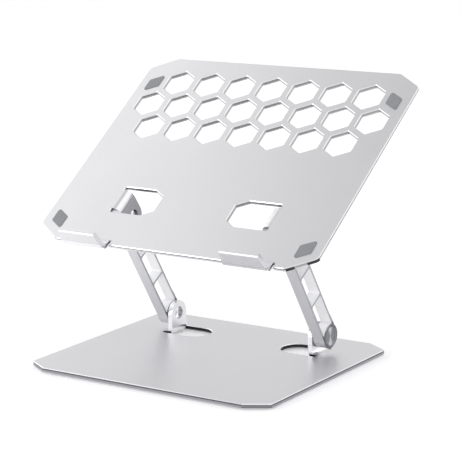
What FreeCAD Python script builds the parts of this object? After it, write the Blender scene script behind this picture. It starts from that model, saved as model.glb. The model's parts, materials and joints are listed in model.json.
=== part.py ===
"""Folding laptop stand: a base plate, two parallel arms and a vented platform with two hooks.

Millimetres, +X to the right, +Y to the rear, +Z up.  The origin is under the middle of the whole
stand, on the desk.  The platform, with everything on it, is modelled flat in its own frame and then
tilted onto the upper hinges.  The arms are modelled folded flat and then raised.
"""
import FreeCAD, Part

import math
import os

V = FreeCAD.Vector
X, Y, Z = V(1, 0, 0), V(0, 1, 0), V(0, 0, 1)
ORIGIN = V(0, 0, 0)
SIDES = {"left": -1, "right": 1}
ENDS = {"front": -1, "rear": 1}

# Sheet metal
sheet = 4.0                    # thickness of the base plate and of the platform
edge_chamfer = 0.6             # polished bevel round every laser-cut edge
overlap = 0.5                  # how far fused or cut solids run past each other
level_error = 1e-6             # how far off a plane an edge may be and still count as in it

# Base plate
base_width = 230.0
base_depth = 192.8
base_cut_x = 20.0              # corner cut, along X
base_cut_y = 11.5              # corner cut, along Y
base_corner_radius = 4.0

# Feet under the base
foot_proud = 0.8               # how far the rubber stands below the sheet
foot_width = 16.0
foot_length = 18.0
foot_inset_x = 18.0            # foot's middle to the base's side edge
foot_inset_y = 17.0            # foot's middle to the base's front or rear edge

# Platform
plate_width = 265.5
plate_depth = 217.8
plate_cut_x = 23.0
plate_cut_y = 14.0
plate_corner_radius = 6.0
plate_tilt = 34.84             # degrees above horizontal

# Hexagonal vents: flats face left and right
vent_flats = 25.0
vent_pitch = 31.2
vent_row_pitch = 27.1
vent_corner_radius = 1.8
vent_rear_margin = 29.7        # middle of the rear row to the platform's rear edge
vent_rows = (7, 8, 7)          # vents in each row, from the rear

# Rubber pads on the platform
pad_width = 12.6
pad_length = 13.5              # along its two straight sides
pad_slant = 30.0               # degrees, the slope of its other two sides
pad_corner_radius = 1.8
pad_inset_x = 14.85            # pad's middle to the platform's side edge
pad_inset_front = 21.1         # pad's middle to the front edge
pad_inset_rear = 32.3          # pad's middle to the rear edge
pad_pocket = 0.5               # depth of the pocket that a pad or foot is glued in
pad_proud = 0.6

# Hooks at the platform's front edge
hook_width = 40.4              # at the bend
hook_top_width = 34.8
hook_middle = 77.5             # hook's middle from the stand's middle
hook_inner_radius = 5.0
hook_height = 16.4             # above the platform's top face
hook_reach = 5.7               # ahead of the platform's front edge
hook_tip_radius = 1.4
hook_notch = 1.6               # width of the relief notch at each end
liner_thick = 1.0
liner_width = 30.0
liner_height = 12.5            # above the platform's top face
liner_corner_radius = 1.5

# Ears: tabs bent out of both plates, one at each end of each arm
ear_inner = 67.65              # middle of the stand to an ear's inner face
ear_width = 21.0
ear_bend_radius = 3.0          # inside the bend
cutout_width = 28.1            # of the opening that the tab leaves
cutout_corner_radius = 1.0
notch_past_bend = 1.0
base_cutout_reach = 37.2       # middle of the stand to the cut-out's inner end, base
plate_cutout_reach = 35.2      # the same, platform
plate_cutout_cut_x = 10.0
plate_cutout_cut_y = 5.8

# Arms
arm_length = 111.8             # hinge to hinge
arm_angle = 58.2               # degrees above horizontal
arm_thick = 10.7
boss_radius = 10.2
arm_front = 9.6                # hinge line to the front flange's outer face
arm_rear = 8.7                 # hinge line to the rear flange's outer face
arm_neck = 0.7                 # how much the rear flange swells near each boss
neck_start = 14.0              # from the hinge
neck_end = 18.5
flange = 1.7
rung = 1.8
rung_pitch = 30.4
window_corner_radius = 1.5
arm_edge_chamfer = 0.35

# Hinges
lower_hinge_back = 53.3        # behind the base's middle
lower_hinge_height = 14.6      # above the base's top face
upper_hinge_back = 49.2        # behind the platform's front edge
upper_hinge_drop = 18.7        # below the platform's top face
shaft_radius = 3.0
pin_head_radius = 5.25
pin_head_recess = 1.9          # the head's face lies this deep in the ear's hole
pin_chamfer = 0.4
running_clearance = 0.05       # radial, shaft in the arm's bore
face_clearance = 0.05          # between faces that turn on each other
fit_gap = 0.01                 # between faces that are pressed or glued together
friction_washer_thick = 0.7
friction_washer_radius = 9.5
recess_radius = 7.9
spring_radius = 6.25
spring_thick = 0.7
spring_cone = 0.2              # free height of one disc spring above its thickness
flat_washer_thick = 0.8
flat_washer_radius = 6.0
nut_flats = 10.0
nut_thick = 3.2
nut_corner_chamfer = 0.5
shaft_past_nut = 0.3
cap_thick = 0.9
cap_recess = 0.4               # the cap's face below the boss's outer face
cap_clearance = 0.23           # end of the shaft to the cap's inner face
cap_skirt = 1.6
cap_wall = 0.8
cap_dish = 0.25

# Worked out from the sizes above
base_top = foot_proud + sheet
ear_outer = ear_inner + sheet
bend_line = ear_outer + ear_bend_radius
arm_inner = ear_outer + face_clearance + friction_washer_thick + face_clearance
arm_outer = arm_inner + arm_thick
hole_radius = shaft_radius + running_clearance
spring_height = spring_thick + spring_cone + fit_gap
stack = face_clearance + 2 * spring_height + flat_washer_thick + nut_thick + shaft_past_nut
boss_web = arm_thick - cap_recess - cap_thick - cap_clearance - stack  # boss's inner face to recess
arm_direction = V(0, -math.cos(math.radians(arm_angle)), math.sin(math.radians(arm_angle)))
plate_turn = FreeCAD.Rotation(X, plate_tilt)
plate_hinge = V(0, upper_hinge_back, -upper_hinge_drop)
base_front_to_hinge = base_depth / 2 + lower_hinge_back
hinge_to_plate_rear = plate_turn.multVec(V(0, plate_depth, edge_chamfer - sheet) - plate_hinge).y
whole_depth = base_front_to_hinge + arm_direction.y * arm_length + hinge_to_plate_rear
base_middle = V(0, base_depth / 2 - whole_depth / 2, 0)
lower_hinge = base_middle + V(0, lower_hinge_back, base_top + lower_hinge_height)
upper_hinge = lower_hinge + arm_direction * arm_length
plate_place = FreeCAD.Placement(upper_hinge - plate_turn.multVec(plate_hinge), plate_turn)
arm_place = FreeCAD.Placement(lower_hinge, FreeCAD.Rotation(X, -arm_angle))


def rounded_face(corners, radius):
    """Flat face in the XY plane through the corners, each one rounded."""
    edges = []
    last_end = None
    first_start = None
    for index, corner in enumerate(corners):
        back = (corners[index - 1] - corner).normalize()
        ahead = (corners[(index + 1) % len(corners)] - corner).normalize()
        half_angle = back.getAngle(ahead) / 2
        start = corner + back * (radius / math.tan(half_angle))
        end = corner + ahead * (radius / math.tan(half_angle))
        centre = corner + (back + ahead).normalize() * (radius / math.sin(half_angle))
        middle = centre + (corner - centre).normalize() * radius
        if last_end:
            edges.append(Part.LineSegment(last_end, start).toShape())
        else:
            first_start = start
        edges.append(Part.Arc(start, middle, end).toShape())
        last_end = end
    edges.append(Part.LineSegment(last_end, first_start).toShape())
    return Part.Face(Part.Wire(edges))


def cut_rectangle(width, depth, cut_x, cut_y):
    """Corners of a rectangle with its four corners cut, middle at the origin."""
    a, b = width / 2, depth / 2
    return [V(a - cut_x, -b, 0), V(a, -b + cut_y, 0), V(a, b - cut_y, 0), V(a - cut_x, b, 0),
            V(-a + cut_x, b, 0), V(-a, b - cut_y, 0), V(-a, -b + cut_y, 0), V(-a + cut_x, -b, 0)]


def hexagon(flats):
    """Corners of a hexagon in the XY plane whose flats face left and right."""
    reach = flats / math.sqrt(3)
    return [V(reach * math.sin(math.radians(60 * i)), reach * math.cos(math.radians(60 * i)), 0)
            for i in range(6)]


def rhomboid(width, length, slant):
    """Corners of a pad: two sides along Y, the other two rising to the right by the slant."""
    rise = width * math.tan(math.radians(slant)) / 2
    return [V(-width / 2, -length / 2 - rise, 0), V(width / 2, -length / 2 + rise, 0),
            V(width / 2, length / 2 + rise, 0), V(-width / 2, length / 2 - rise, 0)]


def moved(shape, place):
    """A copy of the shape, moved from its own frame into the stand's."""
    result = shape.copy()
    result.Placement = place.multiply(result.Placement)
    return result


def mirrored(shape, side):
    """The shape itself for the right side, its mirror image for the left."""
    return shape if side > 0 else shape.mirror(ORIGIN, X)


def disc(radius, start, end, hole=0.0):
    """Disc or ring about the X axis, from x = start to x = end."""
    shape = Part.makeCylinder(radius, end - start, V(start, 0, 0), X)
    if hole:
        shape = shape.cut(Part.makeCylinder(hole, end - start, V(start, 0, 0), X))
    return shape


def turned(profile):
    """Solid of revolution about the X axis; the profile is a list of (x, radius)."""
    points = [V(x, radius, 0) for x, radius in profile]
    face = Part.Face(Part.makePolygon(points + points[:1]))
    return face.revolve(ORIGIN, X, 360)


def bevel(solid, z, size):
    """Bevel every edge of the solid that lies in the plane z."""
    rim = [e for e in solid.Edges
           if abs(e.BoundBox.ZMin - z) < level_error and abs(e.BoundBox.ZMax - z) < level_error]
    return solid.makeChamfer(size, rim)


def sheet_blank(outline, radius, openings):
    """Flat sheet with its top face at z = 0, its openings cut and all its edges bevelled."""
    blank = rounded_face(outline, radius).extrude(V(0, 0, -sheet))
    for opening in openings:
        blank = blank.cut(opening)
    return bevel(bevel(blank, 0, edge_chamfer), -sheet, edge_chamfer)


def ear(hinge_rise):
    """Right-hand ear bent up from a sheet whose top face is z = 0, hinge axis above y = 0."""
    bend_centre = V(bend_line, 0, ear_bend_radius)
    outer = ear_bend_radius + sheet
    corner = Part.makeBox(outer, ear_width, outer, V(bend_line - outer, -ear_width / 2, -sheet))
    place = V(bend_centre.x, -ear_width / 2, bend_centre.z)
    bend = Part.makeCylinder(outer, ear_width, place, Y)
    bend = bend.cut(Part.makeCylinder(ear_bend_radius, ear_width, place, Y)).common(corner)
    half = ear_width / 2
    tongue = Part.makeBox(sheet, ear_width, hinge_rise - ear_bend_radius,
                          V(ear_inner, -half, ear_bend_radius))
    tip = Part.makeCylinder(half, sheet, V(ear_inner, 0, hinge_rise), X)
    root = Part.makeBox(notch_past_bend + overlap, ear_width, sheet, V(bend_line, -half, -sheet))
    shape = bend.fuse([tongue, tip, root])
    return shape.cut(Part.makeCylinder(pin_head_radius + fit_gap, sheet, V(ear_inner, 0, hinge_rise), X))


def base_cutout():
    """Right-hand opening in the base: round at its inner end, square past the bend."""
    half = cutout_width / 2
    middle = base_cutout_reach + half
    reach = bend_line + notch_past_bend
    opening = Part.makeCylinder(half, 3 * sheet, V(middle, 0, -2 * sheet))
    return opening.fuse(Part.makeBox(reach - middle, cutout_width, 3 * sheet, V(middle, -half, -2 * sheet)))


def plate_cutout():
    """Right-hand opening in the platform: its two inner corners are cut."""
    half = cutout_width / 2
    near, far = plate_cutout_reach, bend_line + notch_past_bend
    corners = [V(near + plate_cutout_cut_x, -half, 0), V(far, -half, 0), V(far, half, 0),
               V(near + plate_cutout_cut_x, half, 0), V(near, half - plate_cutout_cut_y, 0),
               V(near, -half + plate_cutout_cut_y, 0)]
    face = rounded_face(corners, cutout_corner_radius)
    face.translate(V(0, 0, sheet))
    return face.extrude(V(0, 0, -3 * sheet))


def base_plate():
    """Base sheet with its two ears, bent up, and pockets for the feet."""
    cutouts = [mirrored(base_cutout(), side) for side in SIDES.values()]
    for cutout in cutouts:
        cutout.translate(V(0, lower_hinge_back, 0))
    outline = cut_rectangle(base_width, base_depth, base_cut_x, base_cut_y)
    plate = sheet_blank(outline, base_corner_radius, cutouts)
    for side in SIDES.values():
        tab = mirrored(ear(lower_hinge_height), side)
        tab.translate(V(0, lower_hinge_back, 0))
        plate = plate.fuse(tab)
    plate.translate(base_middle + V(0, 0, base_top))
    for place, slant in foot_places().values():
        plate = plate.cut(foot(place, slant, fit_gap))
    return plate.removeSplitter()


def foot_places():
    """Each foot's name, with its middle on the base's underside and the way that it slants."""
    x = base_width / 2 - foot_inset_x
    y = base_depth / 2 - foot_inset_y
    return {f"foot_{end}_{side}": (base_middle + V(sx * x, sy * y, foot_proud), -sx * sy * pad_slant)
            for end, sy in ENDS.items() for side, sx in SIDES.items()}


def foot(place, slant, gap=0.0):
    """Rubber foot, let into the underside; with a gap, the pocket that it needs."""
    face = rounded_face(rhomboid(foot_width + 2 * gap, foot_length + 2 * gap, slant), pad_corner_radius)
    face.translate(place + V(0, 0, pad_pocket))
    return face.extrude(V(0, 0, -pad_pocket - foot_proud))


def pad_places():
    """Each pad's name, with its middle on the platform and the way that it slants."""
    x = plate_width / 2 - pad_inset_x
    rows = {"front": pad_inset_front, "rear": plate_depth - pad_inset_rear}
    return {f"pad_{end}_{side}": (V(sx * x, rows[end], 0), -sx * ENDS[end] * pad_slant)
            for end in ENDS for side, sx in SIDES.items()}


def pad(place, slant, gap=0.0):
    """Rubber pad, let into the platform; with a gap, the pocket that it needs."""
    face = rounded_face(rhomboid(pad_width + 2 * gap, pad_length + 2 * gap, slant), pad_corner_radius)
    face.translate(place + V(0, 0, -pad_pocket))
    return face.extrude(V(0, 0, pad_pocket + pad_proud))


def vents():
    """The hexagonal vents, as one list of cutting prisms."""
    face = rounded_face(hexagon(vent_flats), vent_corner_radius)
    face.translate(V(0, 0, sheet))
    prism = face.extrude(V(0, 0, -3 * sheet))
    result = []
    for row, count in enumerate(vent_rows):
        y = plate_depth - vent_rear_margin - row * vent_row_pitch
        for index in range(count):
            vent = prism.copy()
            vent.translate(V((index - (count - 1) / 2) * vent_pitch, y, 0))
            result.append(vent)
    return result


def strip(inner_radius, thick, centre_y, tail, height, width):
    """Sheet bent up at its front: a flat tail behind the bend, an upright wall before it."""
    outer = inner_radius + thick
    bottom = inner_radius - outer
    wall_y = centre_y - outer
    turn = math.sqrt(0.5)
    centre = V(0, centre_y, inner_radius)
    points = [V(0, centre_y + tail, 0), V(0, centre_y, 0), V(0, wall_y + thick, inner_radius),
              V(0, wall_y + thick, height), V(0, wall_y, height), V(0, wall_y, inner_radius),
              V(0, centre_y, bottom), V(0, centre_y + tail, bottom)]
    inner_middle = centre - V(0, turn, turn) * inner_radius
    outer_middle = centre - V(0, turn, turn) * outer
    edges = [Part.LineSegment(points[0], points[1]).toShape(),
             Part.Arc(points[1], inner_middle, points[2]).toShape(),
             Part.LineSegment(points[2], points[3]).toShape(),
             Part.LineSegment(points[3], points[4]).toShape(),
             Part.LineSegment(points[4], points[5]).toShape(),
             Part.Arc(points[5], outer_middle, points[6]).toShape(),
             Part.LineSegment(points[6], points[7]).toShape(),
             Part.LineSegment(points[7], points[0]).toShape()]
    shape = Part.Face(Part.Wire(edges)).extrude(V(width, 0, 0))
    shape.translate(V(-width / 2, 0, 0))
    return shape


def hook():
    """Right-hand hook with the root that joins the platform."""
    centre_y = hook_inner_radius + sheet - hook_reach
    shape = strip(hook_inner_radius, sheet, centre_y, notch_past_bend + overlap, hook_height, hook_width)
    tip = [e for e in shape.Edges
           if abs(e.BoundBox.ZMin - hook_height) < level_error and e.BoundBox.XLength > sheet]
    shape = shape.makeFillet(hook_tip_radius, tip)
    top, root = hook_top_width / 2, hook_width / 2
    low = -sheet - overlap
    outline = [V(-root, 0, low), V(root, 0, low), V(root, 0, hook_inner_radius - sheet),
               V(top, 0, hook_height), V(-top, 0, hook_height), V(-root, 0, hook_inner_radius - sheet)]
    face = Part.Face(Part.makePolygon(outline + outline[:1]))
    face.translate(V(0, -hook_reach - overlap, 0))
    shape = shape.common(face.extrude(V(0, hook_reach + hook_inner_radius + 2 * sheet, 0)))
    shape.translate(V(hook_middle, 0, 0))
    return shape


def hook_notches():
    """The gap in the front edge that the right-hand hook and its two relief notches fill."""
    width = hook_width + 2 * hook_notch
    depth = hook_inner_radius + sheet - hook_reach + notch_past_bend
    return Part.makeBox(width, depth + overlap, 3 * sheet, V(hook_middle - width / 2, -overlap, -2 * sheet))


def hook_liner():
    """Soft strip glued to the upright wall of the right-hand hook."""
    half = liner_width / 2
    corners = [V(-half, hook_inner_radius, 0), V(half, hook_inner_radius, 0),
               V(half, liner_height, 0), V(-half, liner_height, 0)]
    shape = rounded_face(corners, liner_corner_radius).extrude(V(0, 0, liner_thick))
    rear_face = -hook_reach + sheet + fit_gap + liner_thick
    return moved(shape, FreeCAD.Placement(V(hook_middle, rear_face, 0), FreeCAD.Rotation(X, 90)))


def top_plate():
    """Platform sheet: vents, ears bent down, hooks bent up and pockets for the pads."""
    openings = vents()
    for side in SIDES.values():
        cutout = mirrored(plate_cutout(), side)
        cutout.translate(V(0, upper_hinge_back - plate_depth / 2, 0))
        openings.append(cutout)
        notches = mirrored(hook_notches(), side)
        notches.translate(V(0, -plate_depth / 2, 0))
        openings.append(notches)
    for vent in openings[:sum(vent_rows)]:
        vent.translate(V(0, -plate_depth / 2, 0))
    outline = cut_rectangle(plate_width, plate_depth, plate_cut_x, plate_cut_y)
    plate = sheet_blank(outline, plate_corner_radius, openings)
    plate.translate(V(0, plate_depth / 2, 0))
    for side in SIDES.values():
        tab = ear(upper_hinge_drop - sheet).mirror(ORIGIN, Z)
        tab = mirrored(tab, side)
        tab.translate(V(0, upper_hinge_back, -sheet))
        plate = plate.fuse([tab, mirrored(hook(), side)])
    for place, slant in pad_places().values():
        plate = plate.cut(pad(place, slant, fit_gap))
    return moved(plate.removeSplitter(), plate_place)


def arm_window(start, end):
    """Opening between the flanges, from one distance to another along the arm."""
    low, high = -arm_front + flange, arm_rear - flange
    corners = [V(start, low, 0), V(end, low, 0), V(end, high, 0), V(start, high, 0)]
    return rounded_face(corners, window_corner_radius).extrude(V(0, 0, arm_thick))


def arm():
    """Right-hand arm: two flanges, two rungs and a boss at each end, folded flat."""
    neck = arm_rear + arm_neck
    corners = [V(0, -arm_front, 0), V(arm_length, -arm_front, 0), V(arm_length, neck, 0),
               V(arm_length - neck_start, neck, 0), V(arm_length - neck_end, arm_rear, 0),
               V(neck_end, arm_rear, 0), V(neck_start, neck, 0), V(0, neck, 0)]
    ladder = Part.Face(Part.makePolygon(corners + corners[:1])).extrude(V(0, 0, arm_thick))
    bosses = [Part.makeCylinder(boss_radius, arm_thick, V(x, 0, 0)) for x in (0, arm_length)]
    ladder = ladder.fuse(bosses)
    half = rung_pitch / 2
    middle = arm_length / 2
    windows = [arm_window(0, middle - half - rung / 2), arm_window(middle + half + rung / 2, arm_length)]
    windows = [w.cut(bosses[0]).cut(bosses[1]) for w in windows]
    windows.append(arm_window(middle - half + rung / 2, middle + half - rung / 2))
    for window in windows:
        ladder = ladder.cut(window)
    ladder = ladder.removeSplitter()
    ladder = bevel(bevel(ladder, 0, arm_edge_chamfer), arm_thick, arm_edge_chamfer)
    for x in (0, arm_length):
        ladder = ladder.cut(Part.makeCylinder(hole_radius, arm_thick, V(x, 0, 0)))
        ladder = ladder.cut(Part.makeCylinder(recess_radius, arm_thick, V(x, 0, boss_web)))
    lying = FreeCAD.Placement(V(arm_inner, -arm_length, 0), FreeCAD.Rotation(Y, Z, X, "XYZ"))
    ladder = moved(ladder, lying)
    return moved(ladder, arm_place)


def disc_spring(start, opens_outward):
    """One conical spring washer in a space that starts at x = start."""
    near_rim = spring_cone if opens_outward else 0.0
    near_hole = spring_cone - near_rim
    return turned([(start + near_hole, hole_radius), (start + near_rim, spring_radius),
                   (start + near_rim + spring_thick, spring_radius),
                   (start + near_hole + spring_thick, hole_radius)])


def hinge_pieces():
    """The six loose pieces of a right-hand hinge, about the X axis."""
    head_in = ear_inner + pin_head_recess
    washer_in = ear_outer + face_clearance
    spring_in = arm_inner + boss_web + face_clearance
    flat_in = spring_in + 2 * spring_height
    nut_in = flat_in + flat_washer_thick
    shaft_end = nut_in + nut_thick + shaft_past_nut
    cap_out = arm_outer - cap_recess
    cap_in = cap_out - cap_thick
    nut_face = Part.Face(Part.makePolygon([*hexagon(nut_flats), hexagon(nut_flats)[0]]))
    nut = nut_face.extrude(V(0, 0, nut_thick))
    nut = moved(nut, FreeCAD.Placement(V(nut_in, 0, 0), FreeCAD.Rotation(Z, X)))
    corner = nut_flats / math.sqrt(3)
    nut = nut.common(turned([(nut_in, 0), (nut_in, corner - nut_corner_chamfer),
                             (nut_in + nut_corner_chamfer, corner),
                             (nut_in + nut_thick - nut_corner_chamfer, corner),
                             (nut_in + nut_thick, corner - nut_corner_chamfer), (nut_in + nut_thick, 0)]))
    cap_radius = recess_radius - fit_gap
    skirt = cap_radius - cap_wall
    return {
        "pin": turned([(head_in, 0), (head_in, pin_head_radius - pin_chamfer),
                       (head_in + pin_chamfer, pin_head_radius), (ear_outer, pin_head_radius),
                       (ear_outer, shaft_radius), (shaft_end - pin_chamfer, shaft_radius),
                       (shaft_end, shaft_radius - pin_chamfer), (shaft_end, 0)]),
        "friction_washer": disc(friction_washer_radius, washer_in, washer_in + friction_washer_thick,
                                hole_radius),
        "disc_springs": Part.makeCompound([disc_spring(spring_in, False),
                                           disc_spring(spring_in + spring_height, True)]),
        "flat_washer": disc(flat_washer_radius, flat_in, nut_in - fit_gap, hole_radius),
        "lock_nut": nut.cut(disc(shaft_radius + fit_gap, nut_in, shaft_end)),
        "cap": turned([(cap_in, 0), (cap_in, skirt), (cap_in - cap_skirt, skirt),
                       (cap_in - cap_skirt, cap_radius), (cap_out - pin_chamfer, cap_radius),
                       (cap_out, cap_radius - pin_chamfer), (cap_out, skirt),
                       (cap_out - cap_dish, skirt - cap_dish), (cap_out - cap_dish, 0)]),
    }


def write(name, shape):
    """Check one node and write its STEP file."""
    if not shape.isValid():
        raise ValueError(f"{name} is not a valid shape")
    shape.exportStep(f"parts/{name}.step")


def main():
    os.makedirs("parts", exist_ok=True)
    write("base_plate", base_plate())
    write("top_plate", top_plate())
    for name, (place, slant) in foot_places().items():
        write(name, foot(place, slant))
    for name, (place, slant) in pad_places().items():
        write(name, moved(pad(place, slant), plate_place))
    hinge_places = {
        "lower": arm_place,
        "upper": FreeCAD.Placement(upper_hinge, arm_place.Rotation),
    }
    for side_name, side in SIDES.items():
        write(f"arm_{side_name}", mirrored(arm(), side))
        write(f"hook_liner_{side_name}", moved(mirrored(hook_liner(), side), plate_place))
        for level, place in hinge_places.items():
            for piece, shape in hinge_pieces().items():
                write(f"{level}_{piece}_{side_name}", mirrored(moved(shape, place), side))


main()
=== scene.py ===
"""Folding laptop stand: the finishes of its metal and rubber pieces, and a plain studio."""
import json
import math

import bmesh
import bpy
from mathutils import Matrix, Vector


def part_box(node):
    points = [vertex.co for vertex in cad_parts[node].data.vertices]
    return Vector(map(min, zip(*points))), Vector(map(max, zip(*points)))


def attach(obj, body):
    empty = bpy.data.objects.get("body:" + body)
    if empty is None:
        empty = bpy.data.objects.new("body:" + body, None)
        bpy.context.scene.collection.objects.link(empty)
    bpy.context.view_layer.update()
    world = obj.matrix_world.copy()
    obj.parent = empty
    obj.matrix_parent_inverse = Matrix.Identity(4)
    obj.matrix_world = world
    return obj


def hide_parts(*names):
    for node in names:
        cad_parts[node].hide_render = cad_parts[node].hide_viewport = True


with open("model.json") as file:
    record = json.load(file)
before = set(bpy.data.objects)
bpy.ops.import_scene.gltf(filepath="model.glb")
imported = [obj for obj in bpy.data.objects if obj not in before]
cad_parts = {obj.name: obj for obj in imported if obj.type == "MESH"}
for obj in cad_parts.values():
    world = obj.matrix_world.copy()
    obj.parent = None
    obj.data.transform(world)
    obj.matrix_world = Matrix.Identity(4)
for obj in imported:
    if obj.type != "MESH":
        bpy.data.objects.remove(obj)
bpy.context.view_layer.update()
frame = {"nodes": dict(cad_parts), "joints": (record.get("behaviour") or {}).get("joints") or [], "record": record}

bl_info = {
    "name": "Folding laptop stand",
    "version": (1, 0, 0),
    "blender": (4, 5, 0),
    "location": "View3D > Sidebar > Stand",
    "description": "Finishes a folding sheet-metal laptop stand and sets it in a plain studio",
    "category": "Object",
}

MM = 0.001
SIDES = ("left", "right")
LEVELS = ("lower", "upper")
ENDS = ("front", "rear")
MOUNTS = {mount["name"]: mount for mount in frame["record"]["mounts"]}
JOINTS = {joint["name"]: joint for joint in frame["joints"]}
LOWER_HINGE = Vector(JOINTS["arm_fold"]["pos_m"])
UPPER_HINGE = Vector(JOINTS["platform_tilt"]["pos_m"])
BODY_OF = {
    node: body for body, nodes in frame["record"]["behaviour"]["bodies"].items() for node in nodes}
ACROSS = Vector((1, 0, 0))
DOWN = Vector((0, 0, -1))

# The two sheets' top faces, each as a point and a normal
PAD_PROUD = 0.6 * MM
PLATFORM_NORMAL = Vector(MOUNTS["laptop_rest"]["axis"])
PLATFORM_POINT = Vector(MOUNTS["laptop_rest"]["pos_m"]) - PLATFORM_NORMAL * PAD_PROUD
BASE_NORMAL = Vector((0, 0, 1))

# Where a sheet's surface is told apart, by how far it faces along the sheet's normal
EDGE_TILT = 0.05                # a cut edge faces along it less than this
SLANT_MIDDLE = 0.5              # bevels and bends face along it by this,
SLANT_HALF = 0.45               # give or take this
HOOK_FACES_DOWN = 0.88          # the lowest line of a hook's bend faces down more than this
CORNER_MATCH = 0.9              # how nearly the front right corner's wall faces forwards and right
SLACK = 0.1 * MM                # so that points on the sheet's very face count as in it
OUTLINE_MARGIN = 8 * MM         # walls further in than this belong to holes
DARK_TOP_DEPTH = (-0.5, -0.3)      # the cut walls' darker top fades here, in sheet thicknesses
EAR_DEPTH = -1.15               # below this there are only ears, in sheet thicknesses
STRIPE_SQUEEZE = 0.9            # how much a cut edge's noise is drawn out into stripes

# Where an arm's surface is told apart
SIDE_TILT = 0.3                 # a sawn side or its bevel faces sideways more than this
OPENING_HALF = 8.2 * MM         # the openings lie this near the line through both hinges
BOSS_HALF = 9 * MM              # a boss reaches this far along the arm from its hinge
FLANGE_LIGHTER = 3.2            # the painted dark reflection is weaker on the narrow flanges' sawn sides than on the broad bosses'

# Most of a noise texture lies between these
NOISE_RANGE = (0.3, 0.7)

# The softboxes' places and sizes, in metres
SOFTBOXES = {
    "key": ((-1.25, 0.15, 0.8), (1.6, 1.6)),
    "rear": ((0.9, 1.3, 0.4), (0.8, 0.6)),
    "front": ((-0.9, -1.3, 0.45), (0.9, 0.6)),
}
SOFTBOX_AIM = Vector((0, 0, 0.1))
TABLE_HALF = 8.0                # metres
SENSOR_WIDTH = 36.0             # millimetres

# The room turns from horizon to ceiling between these, as the upward part of a direction
CEILING_RISE = (0.35, 0.8)
# A grey cloth hangs where the platform mirrors the room, so that the metal doesn't blow out
CLOTH_DIRECTION = Vector((-0.52, 0.1, 0.85)).normalized()
CLOTH_EDGE = (0.7, 0.92)


# ---------------------------------------------------------------- colours and nodes

def linear(hex_colour):
    """An sRGB hex colour as linear RGBA."""
    channels = [int(hex_colour[i:i + 2], 16) / 255 for i in (1, 3, 5)]
    return (*[c / 12.92 if c <= 0.04045 else ((c + 0.055) / 1.055) ** 2.4 for c in channels], 1.0)


def shade(colour, factor):
    """A colour property, made darker or lighter, as RGBA."""
    return (*[min(c * factor, 1.0) for c in colour[:3]], 1.0)


def feed(node, inputs):
    """Give a node its inputs, as a list in order or a dict; each is a value or another's output."""
    for name, value in inputs.items() if isinstance(inputs, dict) else enumerate(inputs):
        if isinstance(value, bpy.types.NodeSocket):
            node.id_data.links.new(value, node.inputs[name])
        else:
            node.inputs[name].default_value = value


def add_node(tree, kind, inputs=(), output=0, **settings):
    """Add a node with its settings and inputs, and give one of its outputs."""
    node = tree.nodes.new(f"ShaderNode{kind}")
    for name, value in settings.items():
        setattr(node, name, value)
    feed(node, inputs)
    return node.outputs[output]


def new_material(name):
    """An empty material: itself, its tree, its shader, and the surface point in the stand's frame."""
    material = bpy.data.materials.new(name)
    material.use_nodes = True
    tree = material.node_tree
    return material, tree, tree.nodes["Principled BSDF"], add_node(tree, "TexCoord", output="Object")


def grain(tree, point, size_mm, detail=2.0):
    """Noise from 0 to 1 whose grains are about this size."""
    noise = add_node(tree, "TexNoise", {"Vector": point, "Scale": 1 / (size_mm * MM), "Detail": detail})
    return add_node(tree, "MapRange", {
        "Value": noise, "From Min": NOISE_RANGE[0], "From Max": NOISE_RANGE[1]})


def mottled(tree, pattern, colour, low, high):
    """A colour that a 0 to 1 pattern makes darker and lighter by these factors."""
    return add_node(tree, "Mix", {0: pattern, 6: shade(colour, low), 7: shade(colour, high)}, 2,
                    data_type="RGBA")


# ---------------------------------------------------------------- materials

def in_outline(tree, point, plate, sheet):
    """1 where a point lies well inside a sheet's outline, so that its wall belongs to a hole."""
    normal, top = plate["normal"], plate["top"]
    corners = [v.co for v in frame["nodes"][plate["node"]].data.vertices
               if -1.1 * sheet < v.co.dot(normal) - top < 0.1 * sheet]
    inside = []
    for direction in (ACROSS, normal.cross(ACROSS)):
        runs = [corner.dot(direction) for corner in corners]
        middle, half = (max(runs) + min(runs)) / 2, (max(runs) - min(runs)) / 2
        run = add_node(tree, "VectorMath", [point, tuple(direction)], "Value", operation="DOT_PRODUCT")
        inside.append(add_node(tree, "Math", [run, middle, half - OUTLINE_MARGIN], operation="COMPARE"))
    return add_node(tree, "Math", inside, operation="MULTIPLY")


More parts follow.
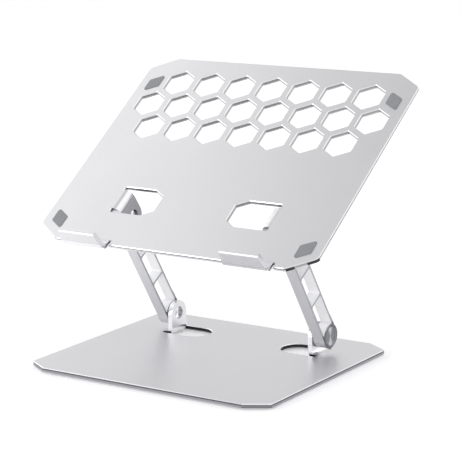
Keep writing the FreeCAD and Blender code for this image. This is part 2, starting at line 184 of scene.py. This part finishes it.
def cut_wall_colour(tree, settings, plate, point, facing, depth, stripes):
    """The colour of a sheet's laser-cut walls, by where they stand, with painted shade on the walls of the holes
    and a painted dark reflection on the front right corner's wall.
    """
    sheet, colour = settings.sheet, plate["edge_colour"]
    forwards = -plate["normal"].cross(ACROSS)
    darker_top = add_node(tree, "MapRange", {
        "Value": depth, "From Min": DARK_TOP_DEPTH[0] * sheet, "From Max": DARK_TOP_DEPTH[1] * sheet})
    streaks = add_node(tree, "Math", [stripes, -0.3, 1.0], operation="MULTIPLY_ADD")
    tone = add_node(tree, "Math", [darker_top, streaks], operation="MULTIPLY")
    outline = mottled(tree, tone, colour, 1.0, 0.15)
    in_hole = in_outline(tree, point, plate, sheet)
    # painted shade: the walls of the holes are darker, most of all in their upper half
    upwards = add_node(tree, "MapRange", {"Value": depth, "From Min": -sheet, "From Max": -0.5 * sheet})
    painted_hole_shade = mottled(tree, upwards, colour, min(4 * plate["hole_shade_tone"], 1.0), plate["hole_shade_tone"])
    # painted dark reflection: the wall at the front right corner of the outline is much darker
    to_corner = tuple((ACROSS + forwards).normalized())
    match = add_node(tree, "VectorMath", [facing, to_corner], "Value", operation="DOT_PRODUCT")
    corner = add_node(tree, "Math", [match, CORNER_MATCH], operation="GREATER_THAN")
    on_outline = add_node(tree, "Math", [1.0, in_hole], operation="SUBTRACT")
    painted_corner_reflection = add_node(tree, "Math", [corner, on_outline], operation="MULTIPLY")
    walls = add_node(tree, "Mix", {0: in_hole, 6: outline, 7: painted_hole_shade}, 2, data_type="RGBA")
    return add_node(tree, "Mix", {0: painted_corner_reflection, 6: walls, 7: shade(colour, plate["corner_reflection_tone"])}, 2,
                    data_type="RGBA")


def blasted_sheet(name, settings, plate):
    """Aluminium sheet, laser-cut, blasted with glass beads and anodised clear.

    The faces have a soft, even sheen with a fine sparkle and no direction.  The cut edges have fine
    stripes straight through the sheet, and are darker near the top.
    The walls of the holes carry painted shade, so they draw darker lines; the front right corner's
    wall carries a painted dark reflection.
    Bevels are cut with a diamond tool after blasting and bends are rubbed smooth by the press, so
    both catch the light as bright lines.
    """
    material, tree, shader, point = new_material(name)
    facing = add_node(tree, "TexCoord", output="Normal")
    sheet, normal = settings.sheet, tuple(plate["normal"])

    square_on = add_node(tree, "VectorMath", [facing, normal], "Value", operation="DOT_PRODUCT")
    tilt = add_node(tree, "Math", [square_on], operation="ABSOLUTE")
    level = add_node(tree, "VectorMath", [point, normal], "Value", operation="DOT_PRODUCT")
    depth = add_node(tree, "Math", [level, plate["top"]], operation="SUBTRACT")
    in_sheet = add_node(tree, "Math", [depth, -sheet / 2, sheet / 2 + SLACK], operation="COMPARE")
    upright = add_node(tree, "Math", [tilt, EDGE_TILT], operation="LESS_THAN")
    cut_edge = add_node(tree, "Math", [in_sheet, upright], operation="MULTIPLY")
    slanting = add_node(tree, "Math", [tilt, SLANT_MIDDLE, SLANT_HALF], operation="COMPARE")

    # beads of 0.1 mm leave pits too fine to show, so they are drawn at the grain's size
    pits = grain(tree, point, settings.grain)
    clouds = grain(tree, point, 45.0, 1.0)
    # a laser's stripes are about 0.1 mm apart; these are five times as coarse
    drawn_out = add_node(tree, "Math", [depth, STRIPE_SQUEEZE], operation="MULTIPLY")
    lift = add_node(tree, "VectorMath", {0: normal, "Scale": drawn_out}, operation="SCALE")
    squeezed = add_node(tree, "VectorMath", [point, lift], operation="SUBTRACT")
    stripes = grain(tree, squeezed, 0.5, 1.0)

    face = mottled(tree, pits, settings.plate_colour, 0.98, 1.02)
    walls = cut_wall_colour(tree, settings, plate, point, facing, depth, stripes)
    colour = add_node(tree, "Mix", {0: cut_edge, 6: face, 7: walls}, 2, data_type="RGBA")
    colour = add_node(tree, "Mix", {0: slanting, 6: colour, 7: shade(settings.bevel_colour, 1.0)}, 2,
                      data_type="RGBA")
    # painted shade: the lowest line of each hook's bend, which faces down, is darker
    downwards = add_node(tree, "VectorMath", [facing, tuple(DOWN)], "Value", operation="DOT_PRODUCT")
    lowest = add_node(tree, "Math", [downwards, HOOK_FACES_DOWN], operation="GREATER_THAN")
    painted_under_shade = add_node(tree, "Math", [slanting, lowest], operation="MULTIPLY")
    colour = add_node(tree, "Mix", {0: painted_under_shade, 6: colour, 7: shade(settings.ear_shade_colour, 0.5)}, 2,
                      data_type="RGBA")
    # below the sheet there are only the bent-down ears, which sit under the platform and are painted darker, as
    # painted shade
    ear = add_node(tree, "Math", [depth, EAR_DEPTH * sheet], operation="LESS_THAN")
    painted_ear_shade = mottled(tree, clouds, settings.ear_shade_colour, 0.9, 1.1)
    colour = add_node(tree, "Mix", {0: ear, 6: colour, 7: painted_ear_shade}, 2, data_type="RGBA")

    cloudy = add_node(tree, "MapRange", {"Value": clouds, "To Min": -0.02, "To Max": 0.02})
    rough = add_node(tree, "Math", [cloudy, settings.roughness], operation="ADD")
    rough = add_node(tree, "Mix", {0: cut_edge, 2: rough, 3: 0.34})
    polish = add_node(tree, "MapRange", {"Value": stripes, "To Min": 0.14, "To Max": 0.24})
    rough = add_node(tree, "Mix", {0: slanting, 2: rough, 3: polish})
    height = add_node(tree, "Mix", {0: cut_edge, 2: pits, 3: stripes})
    bump = add_node(tree, "Bump", {"Height": height, "Strength": 0.12, "Distance": 0.02 * MM})
    feed(shader, {"Base Color": colour, "Roughness": rough, "Metallic": 1.0, "Normal": bump})
    return material


def sawn_extrusion(name, settings):
    """Aluminium extrusion, sawn into slices, milled, blasted with glass beads and anodised clear.

    The long faces have the plates' soft sheen, and the openings carry painted light, in a lighter colour.
    The sawn sides and their small bevels are darker, as a painted dark reflection, with faint bands
    across them, which draws a thin line round each flange.
    """
    material, tree, shader, point = new_material(name)
    facing = add_node(tree, "TexCoord", output="Normal")
    length = (UPPER_HINGE - LOWER_HINGE).normalized()
    rear = length.cross(ACROSS)

    across = add_node(tree, "VectorMath", [facing, tuple(ACROSS)], "Value", operation="DOT_PRODUCT")
    either_way = add_node(tree, "Math", [across], operation="ABSOLUTE")
    sideways = add_node(tree, "Math", [either_way, SIDE_TILT], operation="GREATER_THAN")
    backwards = add_node(tree, "VectorMath", [point, tuple(rear)], "Value", operation="DOT_PRODUCT")
    opening = add_node(tree, "Math", [backwards, LOWER_HINGE.dot(rear), OPENING_HALF],
                       operation="COMPARE")
    run = add_node(tree, "VectorMath", [point, tuple(length)], "Value", operation="DOT_PRODUCT")
    boss = add_node(tree, "Math", [
        add_node(tree, "Math", [run, hinge.dot(length), BOSS_HALF], operation="COMPARE")
        for hinge in (LOWER_HINGE, UPPER_HINGE)], operation="MAXIMUM")

    pits = grain(tree, point, settings.grain)
    clouds = grain(tree, point, 30.0, 1.0)
    # saw marks are 0.3 mm apart and too fine to show, so only their wider bands are drawn
    band_mm, wave_factor = 3.77, 20
    marks = add_node(tree, "TexWave", {
        "Vector": point, "Scale": 2 * math.pi / (wave_factor * band_mm * MM), "Distortion": 1.5,
        "Detail": 1.0}, "Fac", bands_direction="Y")

    face = mottled(tree, pits, settings.arm_colour, 0.98, 1.02)
    # painted light: the openings get a lighter colour than the faces outside them
    face = add_node(tree, "Mix", {0: opening, 6: face, 7: shade(settings.opening_light_colour, 1.0)}, 2,
                    data_type="RGBA")
    # painted dark reflection: the sawn sides are darker, more on the bosses than on the flanges
    sawn = mottled(tree, marks, settings.sawn_reflection_colour, 0.85, 1.15)
    sawn = add_node(tree, "Mix", {0: boss, 6: shade(settings.sawn_reflection_colour, FLANGE_LIGHTER), 7: sawn}, 2,
                    data_type="RGBA")
    colour = add_node(tree, "Mix", {0: sideways, 6: face, 7: sawn}, 2, data_type="RGBA")

    cloudy = add_node(tree, "MapRange", {"Value": clouds, "To Min": -0.02, "To Max": 0.02})
    rough = add_node(tree, "Math", [cloudy, settings.arm_roughness], operation="ADD")
    rough = add_node(tree, "Mix", {0: sideways, 2: rough, 3: 0.3})
    # below 1, so that the anodised metal scatters some light evenly, and most of it in the openings, which also
    # carry painted light
    metal = add_node(tree, "Mix", {0: opening, 2: 0.6, 3: 0.25})
    height = add_node(tree, "Mix", {0: sideways, 2: pits, 3: marks})
    bump = add_node(tree, "Bump", {"Height": height, "Strength": 0.12, "Distance": 0.02 * MM})
    feed(shader, {"Base Color": colour, "Roughness": rough, "Metallic": metal, "Normal": bump})
    return material


def moulded_rubber(name, colour, grain_mm):
    """Moulded rubber with a matt, spark-eroded skin: grey with a faint grain and almost no gloss."""
    material, tree, shader, point = new_material(name)
    # a spark-eroded skin is about 0.1 mm coarse, and is drawn coarser to show
    skin = grain(tree, point, grain_mm)
    dust = grain(tree, point, 6.0, 3.0)
    speckled = mottled(tree, skin, colour, 0.9, 1.1)
    thin = add_node(tree, "Math", [dust, 0.12], operation="MULTIPLY")
    dusty = add_node(tree, "Mix", {0: thin, 6: speckled, 7: shade(colour, 1.6)}, 2, data_type="RGBA")
    rough = add_node(tree, "MapRange", {"Value": skin, "To Min": 0.62, "To Max": 0.78})
    bump = add_node(tree, "Bump", {"Height": skin, "Strength": 0.35, "Distance": 0.05 * MM})
    feed(shader, {"Base Color": dusty, "Roughness": rough, "Specular IOR Level": 0.35, "Normal": bump})
    return material


def turned_metal(name, colour, roughness, ring_mm, centre):
    """Metal turned on a lathe: fine rings about the hinge, which draw the light out in a bow-tie.

    The room is too even for the rings to show that by themselves, so the bow-tie is also painted into the colour,
    as a painted highlight.
    """
    material, tree, shader, point = new_material(name)
    offset = add_node(tree, "VectorMath", [point, tuple(centre)], operation="SUBTRACT")
    flat = add_node(tree, "VectorMath", [offset, (0.0, 1.0, 1.0)], operation="MULTIPLY")
    radius = add_node(tree, "VectorMath", [flat], "Value", operation="LENGTH")
    # lathe rings are about 0.1 mm apart; these are as coarse as they need to be to show
    turn = add_node(tree, "Math", [radius, 2 * math.pi / (ring_mm * MM)], operation="MULTIPLY")
    wave = add_node(tree, "Math", [turn], operation="SINE")
    rings = add_node(tree, "Math", [wave, 0.5, 0.5], operation="MULTIPLY_ADD")
    stain = grain(tree, point, 2.5, 3.0)

    # painted highlight: the colour is much lighter in a bow-tie along the vertical line through the centre
    forwards = add_node(tree, "VectorMath", [offset, (0, 1, 0)], "Value", operation="DOT_PRODUCT")
    either_way = add_node(tree, "Math", [forwards], operation="ABSOLUTE")
    clear_of_centre = add_node(tree, "Math", [radius, 0.5 * MM], operation="ADD")
    aside = add_node(tree, "Math", [either_way, clear_of_centre], operation="DIVIDE")
    outside_painted_highlight = add_node(tree, "MapRange", {"Value": aside, "From Min": 0.1, "From Max": 0.6},
                               interpolation_type="SMOOTHSTEP")
    tone = mottled(tree, rings, colour, 0.9, 1.1)
    tone = add_node(tree, "Mix", {0: outside_painted_highlight, 6: shade(colour, 2.6), 7: tone}, 2,
                    data_type="RGBA")
    faint = add_node(tree, "Math", [stain, 0.15], operation="MULTIPLY")
    tone = add_node(tree, "Mix", {0: faint, 6: tone, 7: shade(colour, 0.7)}, 2, data_type="RGBA")
    rough = add_node(tree, "MapRange", {
        "Value": stain, "To Min": roughness - 0.03, "To Max": roughness + 0.05})
    bump = add_node(tree, "Bump", {"Height": rings, "Strength": 0.3, "Distance": 0.02 * MM})
    round_axle = add_node(tree, "Tangent", output="Tangent", direction_type="RADIAL", axis="X")
    feed(shader, {"Base Color": tone, "Roughness": rough, "Metallic": 1.0, "Anisotropic": 0.85,
                  "Tangent": round_axle, "Normal": bump})
    return material


def pressed_steel(name, colour, roughness, crystal_mm):
    """Pressed steel with a thin coat, such as zinc or phosphate: cool grey, cloudy with fine crystals."""
    material, tree, shader, point = new_material(name)
    # a coat's crystals are some 0.02 mm across, and are drawn far coarser to show
    crystals = add_node(tree, "TexVoronoi", {"Vector": point, "Scale": 1 / (crystal_mm * MM)}, "Color")
    tint = add_node(tree, "SeparateColor", {"Color": crystals})
    speckled = mottled(tree, tint, colour, 0.88, 1.12)
    rough = add_node(tree, "MapRange", {
        "Value": tint, "To Min": roughness - 0.04, "To Max": roughness + 0.06})
    bump = add_node(tree, "Bump", {"Height": tint, "Strength": 0.1, "Distance": 0.01 * MM})
    feed(shader, {"Base Color": speckled, "Roughness": rough, "Metallic": 1.0, "Normal": bump})
    return material


def moulded_acetal(name, colour):
    """Natural acetal, moulded smooth: milky white with a waxy gloss and faint flow lines."""
    material, tree, shader, point = new_material(name)
    flow = grain(tree, point, 3.0, 3.0)
    milky = mottled(tree, flow, colour, 0.94, 1.04)
    rough = add_node(tree, "MapRange", {"Value": flow, "To Min": 0.3, "To Max": 0.4})
    bump = add_node(tree, "Bump", {"Height": flow, "Strength": 0.1, "Distance": 0.01 * MM})
    feed(shader, {"Base Color": milky, "Roughness": rough, "IOR": 1.48, "Normal": bump})
    return material


def frosted_acrylic(name, colour, glow):
    """Frosted acrylic table top, lit from below: an even white with soft shadows."""
    material, tree, shader, point = new_material(name)
    # frosting is finer than 0.1 mm, and is drawn coarser to show
    frost = grain(tree, point, 2.0)
    feed(shader, {"Base Color": mottled(tree, frost, colour, 0.998, 1.002), "Roughness": 0.9,
                  "Specular IOR Level": 0.1, "Emission Color": (1, 1, 1, 1), "Emission Strength": glow})
    return material


# ---------------------------------------------------------------- pieces

def paint(node_names, material):
    """Give CAD nodes a material in place of their own."""
    for name in node_names:
        slots = frame["nodes"][name].data.materials
        slots.clear()
        slots.append(material)


def softened_copy(node, radius, crown, up, material):
    """A moulded copy of a CAD node: its sharp edges rounded and its top slightly crowned."""
    sharp_angle, flat_angle = math.radians(40), math.radians(1)
    mesh = bmesh.new()
    mesh.from_mesh(frame["nodes"][node].data)
    bmesh.ops.remove_doubles(mesh, verts=mesh.verts, dist=0.001 * MM)
    bmesh.ops.dissolve_limit(mesh, angle_limit=flat_angle, verts=mesh.verts, edges=mesh.edges)
    sharp = [e for e in mesh.edges if len(e.link_faces) == 2 and e.calc_face_angle() > sharp_angle]
    bmesh.ops.bevel(mesh, geom=sharp, offset=radius, offset_type="OFFSET", segments=3, profile=0.5,
                    affect="EDGES", clamp_overlap=True)
    if crown:
        crown_top(mesh, crown, up)
    for face in mesh.faces:
        face.smooth = True
    data = bpy.data.meshes.new(f"{node}_moulded")
    mesh.to_mesh(data)
    mesh.free()
    data.materials.append(material)
    piece = bpy.data.objects.new(f"{node}_moulded", data)
    bpy.context.scene.collection.objects.link(piece)
    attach(piece, BODY_OF[node])
    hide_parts(node)


def crown_top(mesh, crown, up):
    """Sink the rim of the piece's outer face, so that its middle stands highest."""
    rim, level_slack, top_layer = 1.5 * MM, 0.05 * MM, 0.3 * MM
    top = max(v.co.dot(up) for v in mesh.verts)
    outer = max((f for f in mesh.faces if f.normal.dot(up) > 0.99 and
                 abs(f.calc_center_median().dot(up) - top) < level_slack), key=lambda f: f.calc_area())
    bmesh.ops.inset_individual(mesh, faces=[outer], thickness=rim, use_even_offset=True)
    for vertex in mesh.verts:
        if vertex.co.dot(up) > top - top_layer and vertex not in outer.verts:
            vertex.co -= up * crown


# ---------------------------------------------------------------- settings

def colour_setting(name, description, default):
    """A colour property whose default is an sRGB hex value."""
    return bpy.props.FloatVectorProperty(name=name, description=description, subtype="COLOR",
                                         min=0.0, max=1.0, default=linear(default)[:3])


class StandMetalSettings(bpy.types.PropertyGroup):
    """Colours and finish of the metal."""
    plate_colour: colour_setting("Plate colour", "Blasted faces of the base and the platform", "#E2E2E4")
    # painted dark reflection: the base's cut edges are darker than the platform's
    base_edge_reflection_colour: colour_setting("Base edge colour", "Laser-cut edges of the base", "#A2A2A6")
    platform_edge_colour: colour_setting(
        "Platform edge colour", "Laser-cut edges of the platform", "#F0F0F2")
    bevel_colour: colour_setting("Bevel colour", "Diamond-cut bevels and pressed bends", "#F2F2F4")
    # painted shade: the ears sit under the platform, so this colour is darker; it also darkens the lowest line of
    # each hook's bend
    ear_shade_colour: colour_setting("Ear colour", "Ears bent down from the platform", "#8E8E92")
    arm_colour: colour_setting("Arm colour", "Blasted faces of the arms", "#E0E0E3")
    # painted light: the openings are lighter than the arms' other faces
    opening_light_colour: colour_setting("Skin colour", "Inside of the arms' openings", "#FCFCFD")
    # painted dark reflection: this darker colour draws the thin lines round the flanges and the dark bosses
    sawn_reflection_colour: colour_setting("Sawn colour", "Sawn sides of the arms", "#626266")
    cap_colour: colour_setting("Cap colour", "Turned caps over the hinge nuts", "#7E7E84")
    pin_colour: colour_setting("Pin colour", "Nickel-plated heads of the hinge pins", "#B8B8BC")
    zinc_colour: colour_setting("Zinc colour", "Zinc-plated nuts and flat washers", "#B4B6BC")
    spring_colour: colour_setting("Spring colour", "Phosphated disc springs", "#3E3F42")
    roughness: bpy.props.FloatProperty(
        name="Roughness", description="Roughness that blasting leaves", default=0.38, min=0.05, max=1.0)
    arm_roughness: bpy.props.FloatProperty(
        name="Arm roughness", description="Roughness of the blasted arms", default=0.48, min=0.05, max=1.0)
    grain: bpy.props.FloatProperty(
        name="Grain", description="Size of the blasted grain as drawn, in millimetres",
        default=0.9, min=0.1, max=3.0)
    sheet: bpy.props.FloatProperty(
        name="Sheet", description="Thickness of both plates", unit="LENGTH", default=4.0 * MM)


class StandRubberSettings(bpy.types.PropertyGroup):
    """Colours and edges of the rubber and plastic pieces."""
    pad_colour: colour_setting("Pad colour", "Rubber pads on the platform", "#8C8D90")
    foot_colour: colour_setting("Foot colour", "Rubber feet under the base", "#3A3A3C")
    liner_colour: colour_setting("Liner colour", "Silicone strips in the hooks", "#76777A")
    washer_colour: colour_setting("Washer colour", "Acetal friction washers", "#DCDCD8")
    edge_radius: bpy.props.FloatProperty(
        name="Edge radius", description="Rounding of the moulded edges", unit="LENGTH", default=0.22 * MM)
    crown: bpy.props.FloatProperty(
        name="Crown", description="How much higher a pad's middle stands than its rim",
        unit="LENGTH", default=0.08 * MM)


class StandStudioSettings(bpy.types.PropertyGroup):
    """Camera, table and light."""
    azimuth: bpy.props.FloatProperty(
        name="Azimuth", description="Camera's turn round the stand", subtype="ANGLE",
        default=math.radians(34.288))
    elevation: bpy.props.FloatProperty(
        name="Elevation", description="Camera's height above the horizon", subtype="ANGLE",
        default=math.radians(12.326))
    roll: bpy.props.FloatProperty(
        name="Roll", description="Camera's lean", subtype="ANGLE", default=math.radians(-1.173))
    distance: bpy.props.FloatProperty(
        name="Distance", description="Camera to the point it looks at", unit="LENGTH", default=1.5755)
    aim: bpy.props.FloatVectorProperty(
        name="Aim", description="Point that the camera looks at", subtype="XYZ", unit="LENGTH",
        default=(0.0029, 0.01547, 0.1034))
    lens: bpy.props.FloatProperty(
        name="Lens", description="Focal length in millimetres", default=151.94)
    table_colour: colour_setting("Table colour", "Frosted table top", "#F6F6F7")
    table_glow: bpy.props.FloatProperty(
        name="Table glow", description="Light that comes up through the table", default=0.19, min=0.0)
    key_power: bpy.props.FloatProperty(
        name="Key light", description="Power of the large softbox, in watts", default=4.8, min=0.0)
    rear_power: bpy.props.FloatProperty(
        name="Rear light", description="Power of the low softbox behind, in watts", default=2.0, min=0.0)
    front_power: bpy.props.FloatProperty(
        name="Front light", description="Power of the low softbox in front, in watts", default=3.4, min=0.0)
    horizon: bpy.props.FloatProperty(
        name="Horizon", description="Brightness of the room near the horizon", default=0.83, min=0.0)
    ceiling: bpy.props.FloatProperty(
        name="Ceiling", description="Brightness of the room overhead", default=1.1, min=0.0)
    flag: bpy.props.FloatProperty(
        name="Flag", description="Brightness behind the grey cloth that the platform mirrors",
        default=0.61, min=0.0)


# ---------------------------------------------------------------- operators

class STAND_OT_finish_plates(bpy.types.Operator):
    """Finish the base plate and the platform"""
    bl_idname = "stand.finish_plates"
    bl_label = "Finish plates"

    def execute(self, context):
        metal = context.scene.stand_metal
        # tones: how dark the painted shade on the walls of the holes and the painted dark reflection on the front
        # right corner's wall are, beside the other walls
        base = {"node": "base_plate", "edge_colour": metal.base_edge_reflection_colour, "hole_shade_tone": 0.1,
                "corner_reflection_tone": 0.6, "top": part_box("base_plate")[0].z + metal.sheet, "normal": BASE_NORMAL}
        platform = {"node": "top_plate", "edge_colour": metal.platform_edge_colour, "hole_shade_tone": 0.4,
                    "corner_reflection_tone": 0.06, "top": PLATFORM_POINT.dot(PLATFORM_NORMAL),
                    "normal": PLATFORM_NORMAL}
        paint(["base_plate"], blasted_sheet("blasted_aluminium_base", metal, base))
        paint(["top_plate"], blasted_sheet("blasted_aluminium_platform", metal, platform))
        return {"FINISHED"}


class STAND_OT_finish_arms(bpy.types.Operator):
    """Finish the two arms"""
    bl_idname = "stand.finish_arms"
    bl_label = "Finish arms"

    def execute(self, context):
        metal = context.scene.stand_metal
        paint([f"arm_{side}" for side in SIDES], sawn_extrusion("sawn_blasted_aluminium", metal))
        return {"FINISHED"}


class STAND_OT_make_rubber(bpy.types.Operator):
    """Make the pads, feet and hook liners with moulded edges"""
    bl_idname = "stand.make_rubber"
    bl_label = "Make rubber pieces"

    def execute(self, context):
        rubber = context.scene.stand_rubber
        pads = moulded_rubber("moulded_pad_rubber", rubber.pad_colour, 0.5)
        feet = moulded_rubber("moulded_foot_rubber", rubber.foot_colour, 0.5)
        liners = moulded_rubber("moulded_liner_silicone", rubber.liner_colour, 0.6)
        edge, crown = rubber.edge_radius, rubber.crown
        for side in SIDES:
            for end in ENDS:
                softened_copy(f"pad_{end}_{side}", edge, crown, PLATFORM_NORMAL, pads)
                softened_copy(f"foot_{end}_{side}", edge, 0.0, DOWN, feet)
            softened_copy(f"hook_liner_{side}", edge, 0.0, PLATFORM_NORMAL, liners)
        return {"FINISHED"}


class STAND_OT_finish_hinges(bpy.types.Operator):
    """Finish the pins, washers, springs, nuts and caps"""
    bl_idname = "stand.finish_hinges"
    bl_label = "Finish hinges"

    def execute(self, context):
        metal = context.scene.stand_metal
        zinc = pressed_steel("zinc_plated_steel", metal.zinc_colour, 0.32, 0.4)
        phosphate = pressed_steel("phosphated_spring_steel", metal.spring_colour, 0.5, 0.25)
        acetal = moulded_acetal("moulded_acetal", context.scene.stand_rubber.washer_colour)
        for level, centre in zip(LEVELS, (LOWER_HINGE, UPPER_HINGE)):
            nickel = turned_metal(f"turned_nickel_steel_{level}", metal.pin_colour, 0.14, 1.1, centre)
            cap = turned_metal(f"turned_aluminium_{level}", metal.cap_colour, 0.2, 1.6, centre)
            finishes = {"pin": nickel, "cap": cap, "friction_washer": acetal, "disc_springs": phosphate,
                        "flat_washer": zinc, "lock_nut": zinc}
            for piece, material in finishes.items():
                paint([f"{level}_{piece}_{side}" for side in SIDES], material)
        return {"FINISHED"}


class STAND_OT_build_studio(bpy.types.Operator):
    """Build the table, the lights and the camera"""
    bl_idname = "stand.build_studio"
    bl_label = "Build studio"

    def execute(self, context):
        studio = context.scene.stand_studio
        self.table(context, studio)
        self.lights(context, studio)
        self.camera(context, studio)
        return {"FINISHED"}

    def table(self, context, studio):
        mesh = bpy.data.meshes.new("table")
        corners = [(x * TABLE_HALF, y * TABLE_HALF, 0) for x, y in ((-1, -1), (1, -1), (1, 1), (-1, 1))]
        mesh.from_pydata(corners, [], [(0, 1, 2, 3)])
        table = bpy.data.objects.new("table", mesh)
        context.scene.collection.objects.link(table)
        mesh.materials.append(frosted_acrylic("frosted_acrylic", studio.table_colour, studio.table_glow))

    def softbox(self, context, name, place, size, power):
        light = bpy.data.lights.new(name, "AREA")
        light.shape = "RECTANGLE"
        light.size, light.size_y = size
        light.energy = power
        lamp = bpy.data.objects.new(name, light)
        lamp.location = place
        lamp.rotation_euler = (SOFTBOX_AIM - Vector(place)).to_track_quat("-Z", "Y").to_euler()
        context.scene.collection.objects.link(lamp)

    def lights(self, context, studio):
        for name, (place, size) in SOFTBOXES.items():
            self.softbox(context, f"{name}_softbox", place, size, getattr(studio, f"{name}_power"))
        world = bpy.data.worlds.new("studio_room")
        world.use_nodes = True
        tree = world.node_tree
        direction = add_node(tree, "TexCoord", output="Generated")
        rise = add_node(tree, "VectorMath", [direction, (0, 0, 1)], "Value", operation="DOT_PRODUCT")
        height = add_node(tree, "MapRange", {
            "Value": rise, "From Min": CEILING_RISE[0], "From Max": CEILING_RISE[1]})
        room = add_node(tree, "Mix", {0: height, 2: studio.horizon, 3: studio.ceiling})
        match = add_node(tree, "VectorMath", [direction, tuple(CLOTH_DIRECTION)], "Value",
                         operation="DOT_PRODUCT")
        cloth = add_node(tree, "MapRange", {
            "Value": match, "From Min": CLOTH_EDGE[0], "From Max": CLOTH_EDGE[1]},
            interpolation_type="SMOOTHSTEP")
        strength = add_node(tree, "Mix", {0: cloth, 2: room, 3: studio.flag})
        feed(tree.nodes["Background"], {"Color": (1, 1, 1, 1), "Strength": strength})
        context.scene.world = world
        context.scene.view_settings.view_transform = "Standard"

    def camera(self, context, studio):
        lens = bpy.data.cameras.new("camera")
        lens.lens = studio.lens
        lens.sensor_width = SENSOR_WIDTH
        camera = bpy.data.objects.new("camera", lens)
        context.scene.collection.objects.link(camera)
        back = Vector((math.sin(studio.azimuth) * math.cos(studio.elevation),
                       -math.cos(studio.azimuth) * math.cos(studio.elevation),
                       math.sin(studio.elevation)))
        camera.location = Vector(studio.aim) + back * studio.distance
        camera.rotation_euler = back.to_track_quat("Z", "Y").to_euler()
        camera.rotation_euler.rotate_axis("Z", studio.roll)
        context.scene.camera = camera


class STAND_PT_panel(bpy.types.Panel):
    """The stand's panel in the sidebar"""
    bl_idname = "STAND_PT_panel"
    bl_label = "Laptop stand"
    bl_space_type = "VIEW_3D"
    bl_region_type = "UI"
    bl_category = "Stand"

    def draw(self, context):
        for group in GROUPS:
            box = self.layout.box()
            for name in GROUPS[group].__annotations__:
                box.prop(getattr(context.scene, group), name)
        for operator in OPERATORS:
            self.layout.operator(operator.bl_idname)


GROUPS = {
    "stand_metal": StandMetalSettings,
    "stand_rubber": StandRubberSettings,
    "stand_studio": StandStudioSettings,
}
OPERATORS = (
    STAND_OT_finish_plates,
    STAND_OT_finish_arms,
    STAND_OT_make_rubber,
    STAND_OT_finish_hinges,
    STAND_OT_build_studio,
)


def register():
    for cls in (*GROUPS.values(), *OPERATORS, STAND_PT_panel):
        bpy.utils.register_class(cls)
    for name, cls in GROUPS.items():
        setattr(bpy.types.Scene, name, bpy.props.PointerProperty(type=cls))


def unregister():
    for name in GROUPS:
        delattr(bpy.types.Scene, name)
    for cls in reversed((*GROUPS.values(), *OPERATORS, STAND_PT_panel)):
        bpy.utils.unregister_class(cls)


def main():
    register()
    bpy.ops.stand.finish_plates()
    bpy.ops.stand.finish_arms()
    bpy.ops.stand.make_rubber()
    bpy.ops.stand.finish_hinges()
    bpy.ops.stand.build_studio()


if __name__ == "__main__":
    main()
